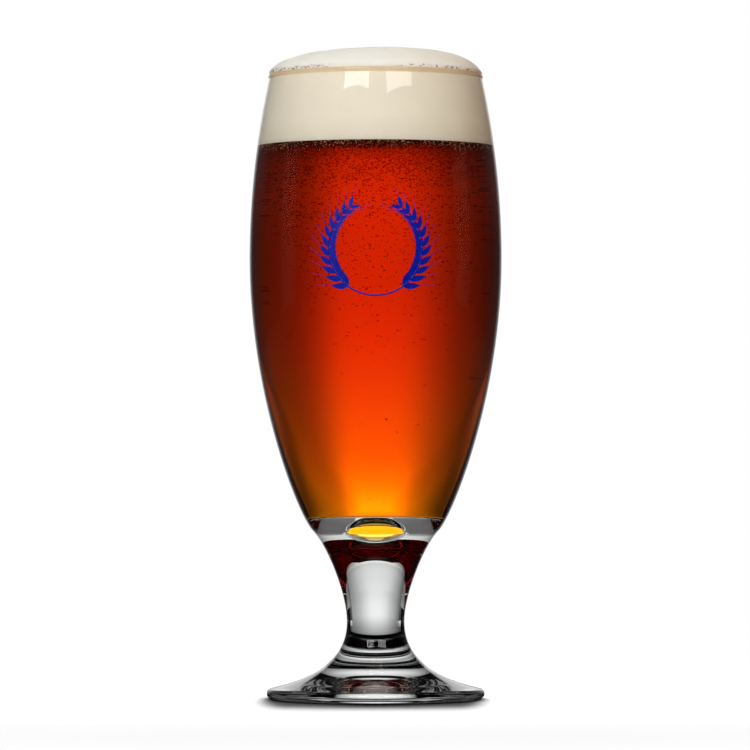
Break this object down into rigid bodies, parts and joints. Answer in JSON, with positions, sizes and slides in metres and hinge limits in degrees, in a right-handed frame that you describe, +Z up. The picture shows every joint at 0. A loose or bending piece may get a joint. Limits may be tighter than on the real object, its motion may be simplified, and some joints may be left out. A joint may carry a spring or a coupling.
{
  "type": "footed pilsner glass",
  "caption": "Tall tulip-shaped beer glass on a short waisted stem and flared round foot, filled with amber beer under a crown of foam.",
  "frame": {"origin": "on the table, under the middle of the foot", "axes": "+Z up along the glass's axis; the printed front of the bowl faces -Y, and +X is to the right as seen from the front"},
  "size_m": [0.0786, 0.0786, 0.2026],
  "materials": {
    "clear_glass": "clear soda-lime glass, fire polished",
    "beer": "clear red-amber beer, darker where it is deep",
    "foam": "fine matt cream-coloured beer foam",
    "print": "fired blue enamel print"
  },
  "bodies": {
    "root": {"bowl": "clear_glass", "stem": "clear_glass", "foot": "clear_glass", "beer": "beer", "foam_head": "foam"}
  },
  "joints": []
}
